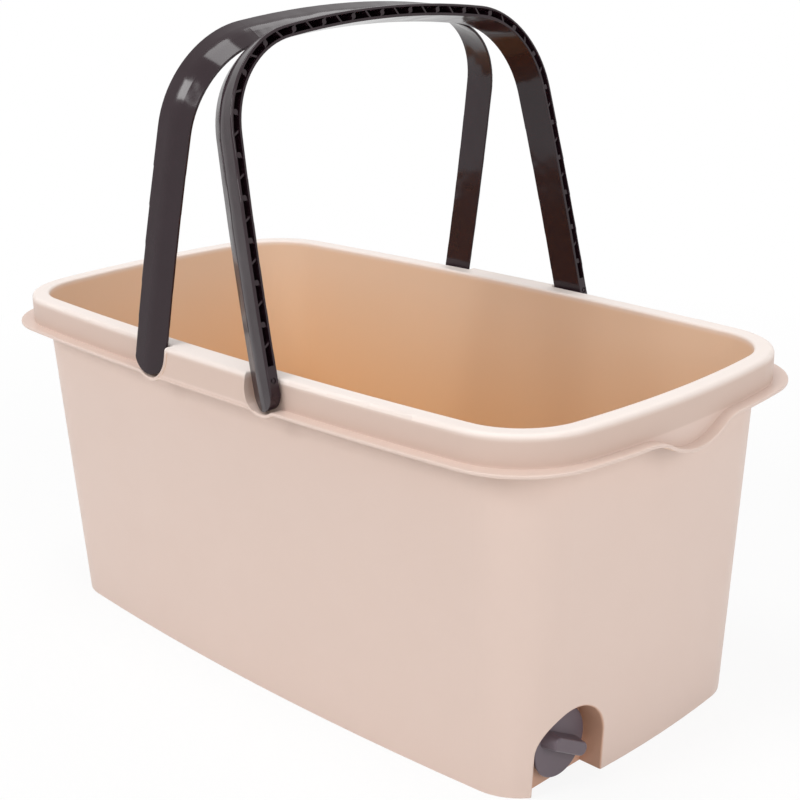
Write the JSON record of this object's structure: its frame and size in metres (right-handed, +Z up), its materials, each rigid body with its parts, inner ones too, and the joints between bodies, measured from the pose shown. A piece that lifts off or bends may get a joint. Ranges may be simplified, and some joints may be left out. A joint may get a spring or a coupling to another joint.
{
  "type": "rectangular mop bucket",
  "caption": "Rectangular mop bucket with a flanged rim, folding carry handles and a screw-in drain plug in a corner recess.",
  "frame": {"origin": "middle of the tub's base, on the floor", "axes": "+Z up, +X along the length towards the drain end, -Y the long side beside the drain"},
  "size_m": [0.4746, 0.262, 0.3875],
  "materials": {
    "tub_plastic": "satin moulded polypropylene, pale beige",
    "handle_plastic": "semi-gloss moulded polypropylene, dark brown",
    "knob_plastic": "satin moulded plastic, mauve brown",
    "seal_rubber": "soft black rubber"
  },
  "bodies": {
    "tub": {"tub": "tub_plastic"},
    "left_handle": {"left_handle": "handle_plastic"},
    "right_handle": {"right_handle": "handle_plastic"},
    "seal": {"drain_seal": "seal_rubber"},
    "knob": {"drain_knob": "knob_plastic"}
  },
  "joints": [
    {"name": "left_handle_fold", "type": "hinge", "parent": "tub", "child": "left_handle", "pos_m": [-0.0492, 0, 0.2007], "axis": [0, -1, 0], "range_deg": [0, 102.1]},
    {"name": "right_handle_fold", "type": "hinge", "parent": "tub", "child": "right_handle", "pos_m": [0.0492, 0, 0.2007], "axis": [0, 1, 0], "range_deg": [0, 102.1]},
    {"name": "drain_travel", "type": "slide", "parent": "tub", "child": "seal", "axis": [1, 0, 0], "range_m": [0, 0.00801]},
    {"name": "drain_turn", "type": "hinge", "parent": "seal", "child": "knob", "pos_m": [0.2, -0.062, 0.0236], "axis": [1, 0, 0], "range_deg": [0, 720]}
  ],
  "couplings": [
    {"joint": "drain_travel", "follows": "drain_turn", "m_per_rad": 0.00063662}
  ]
}
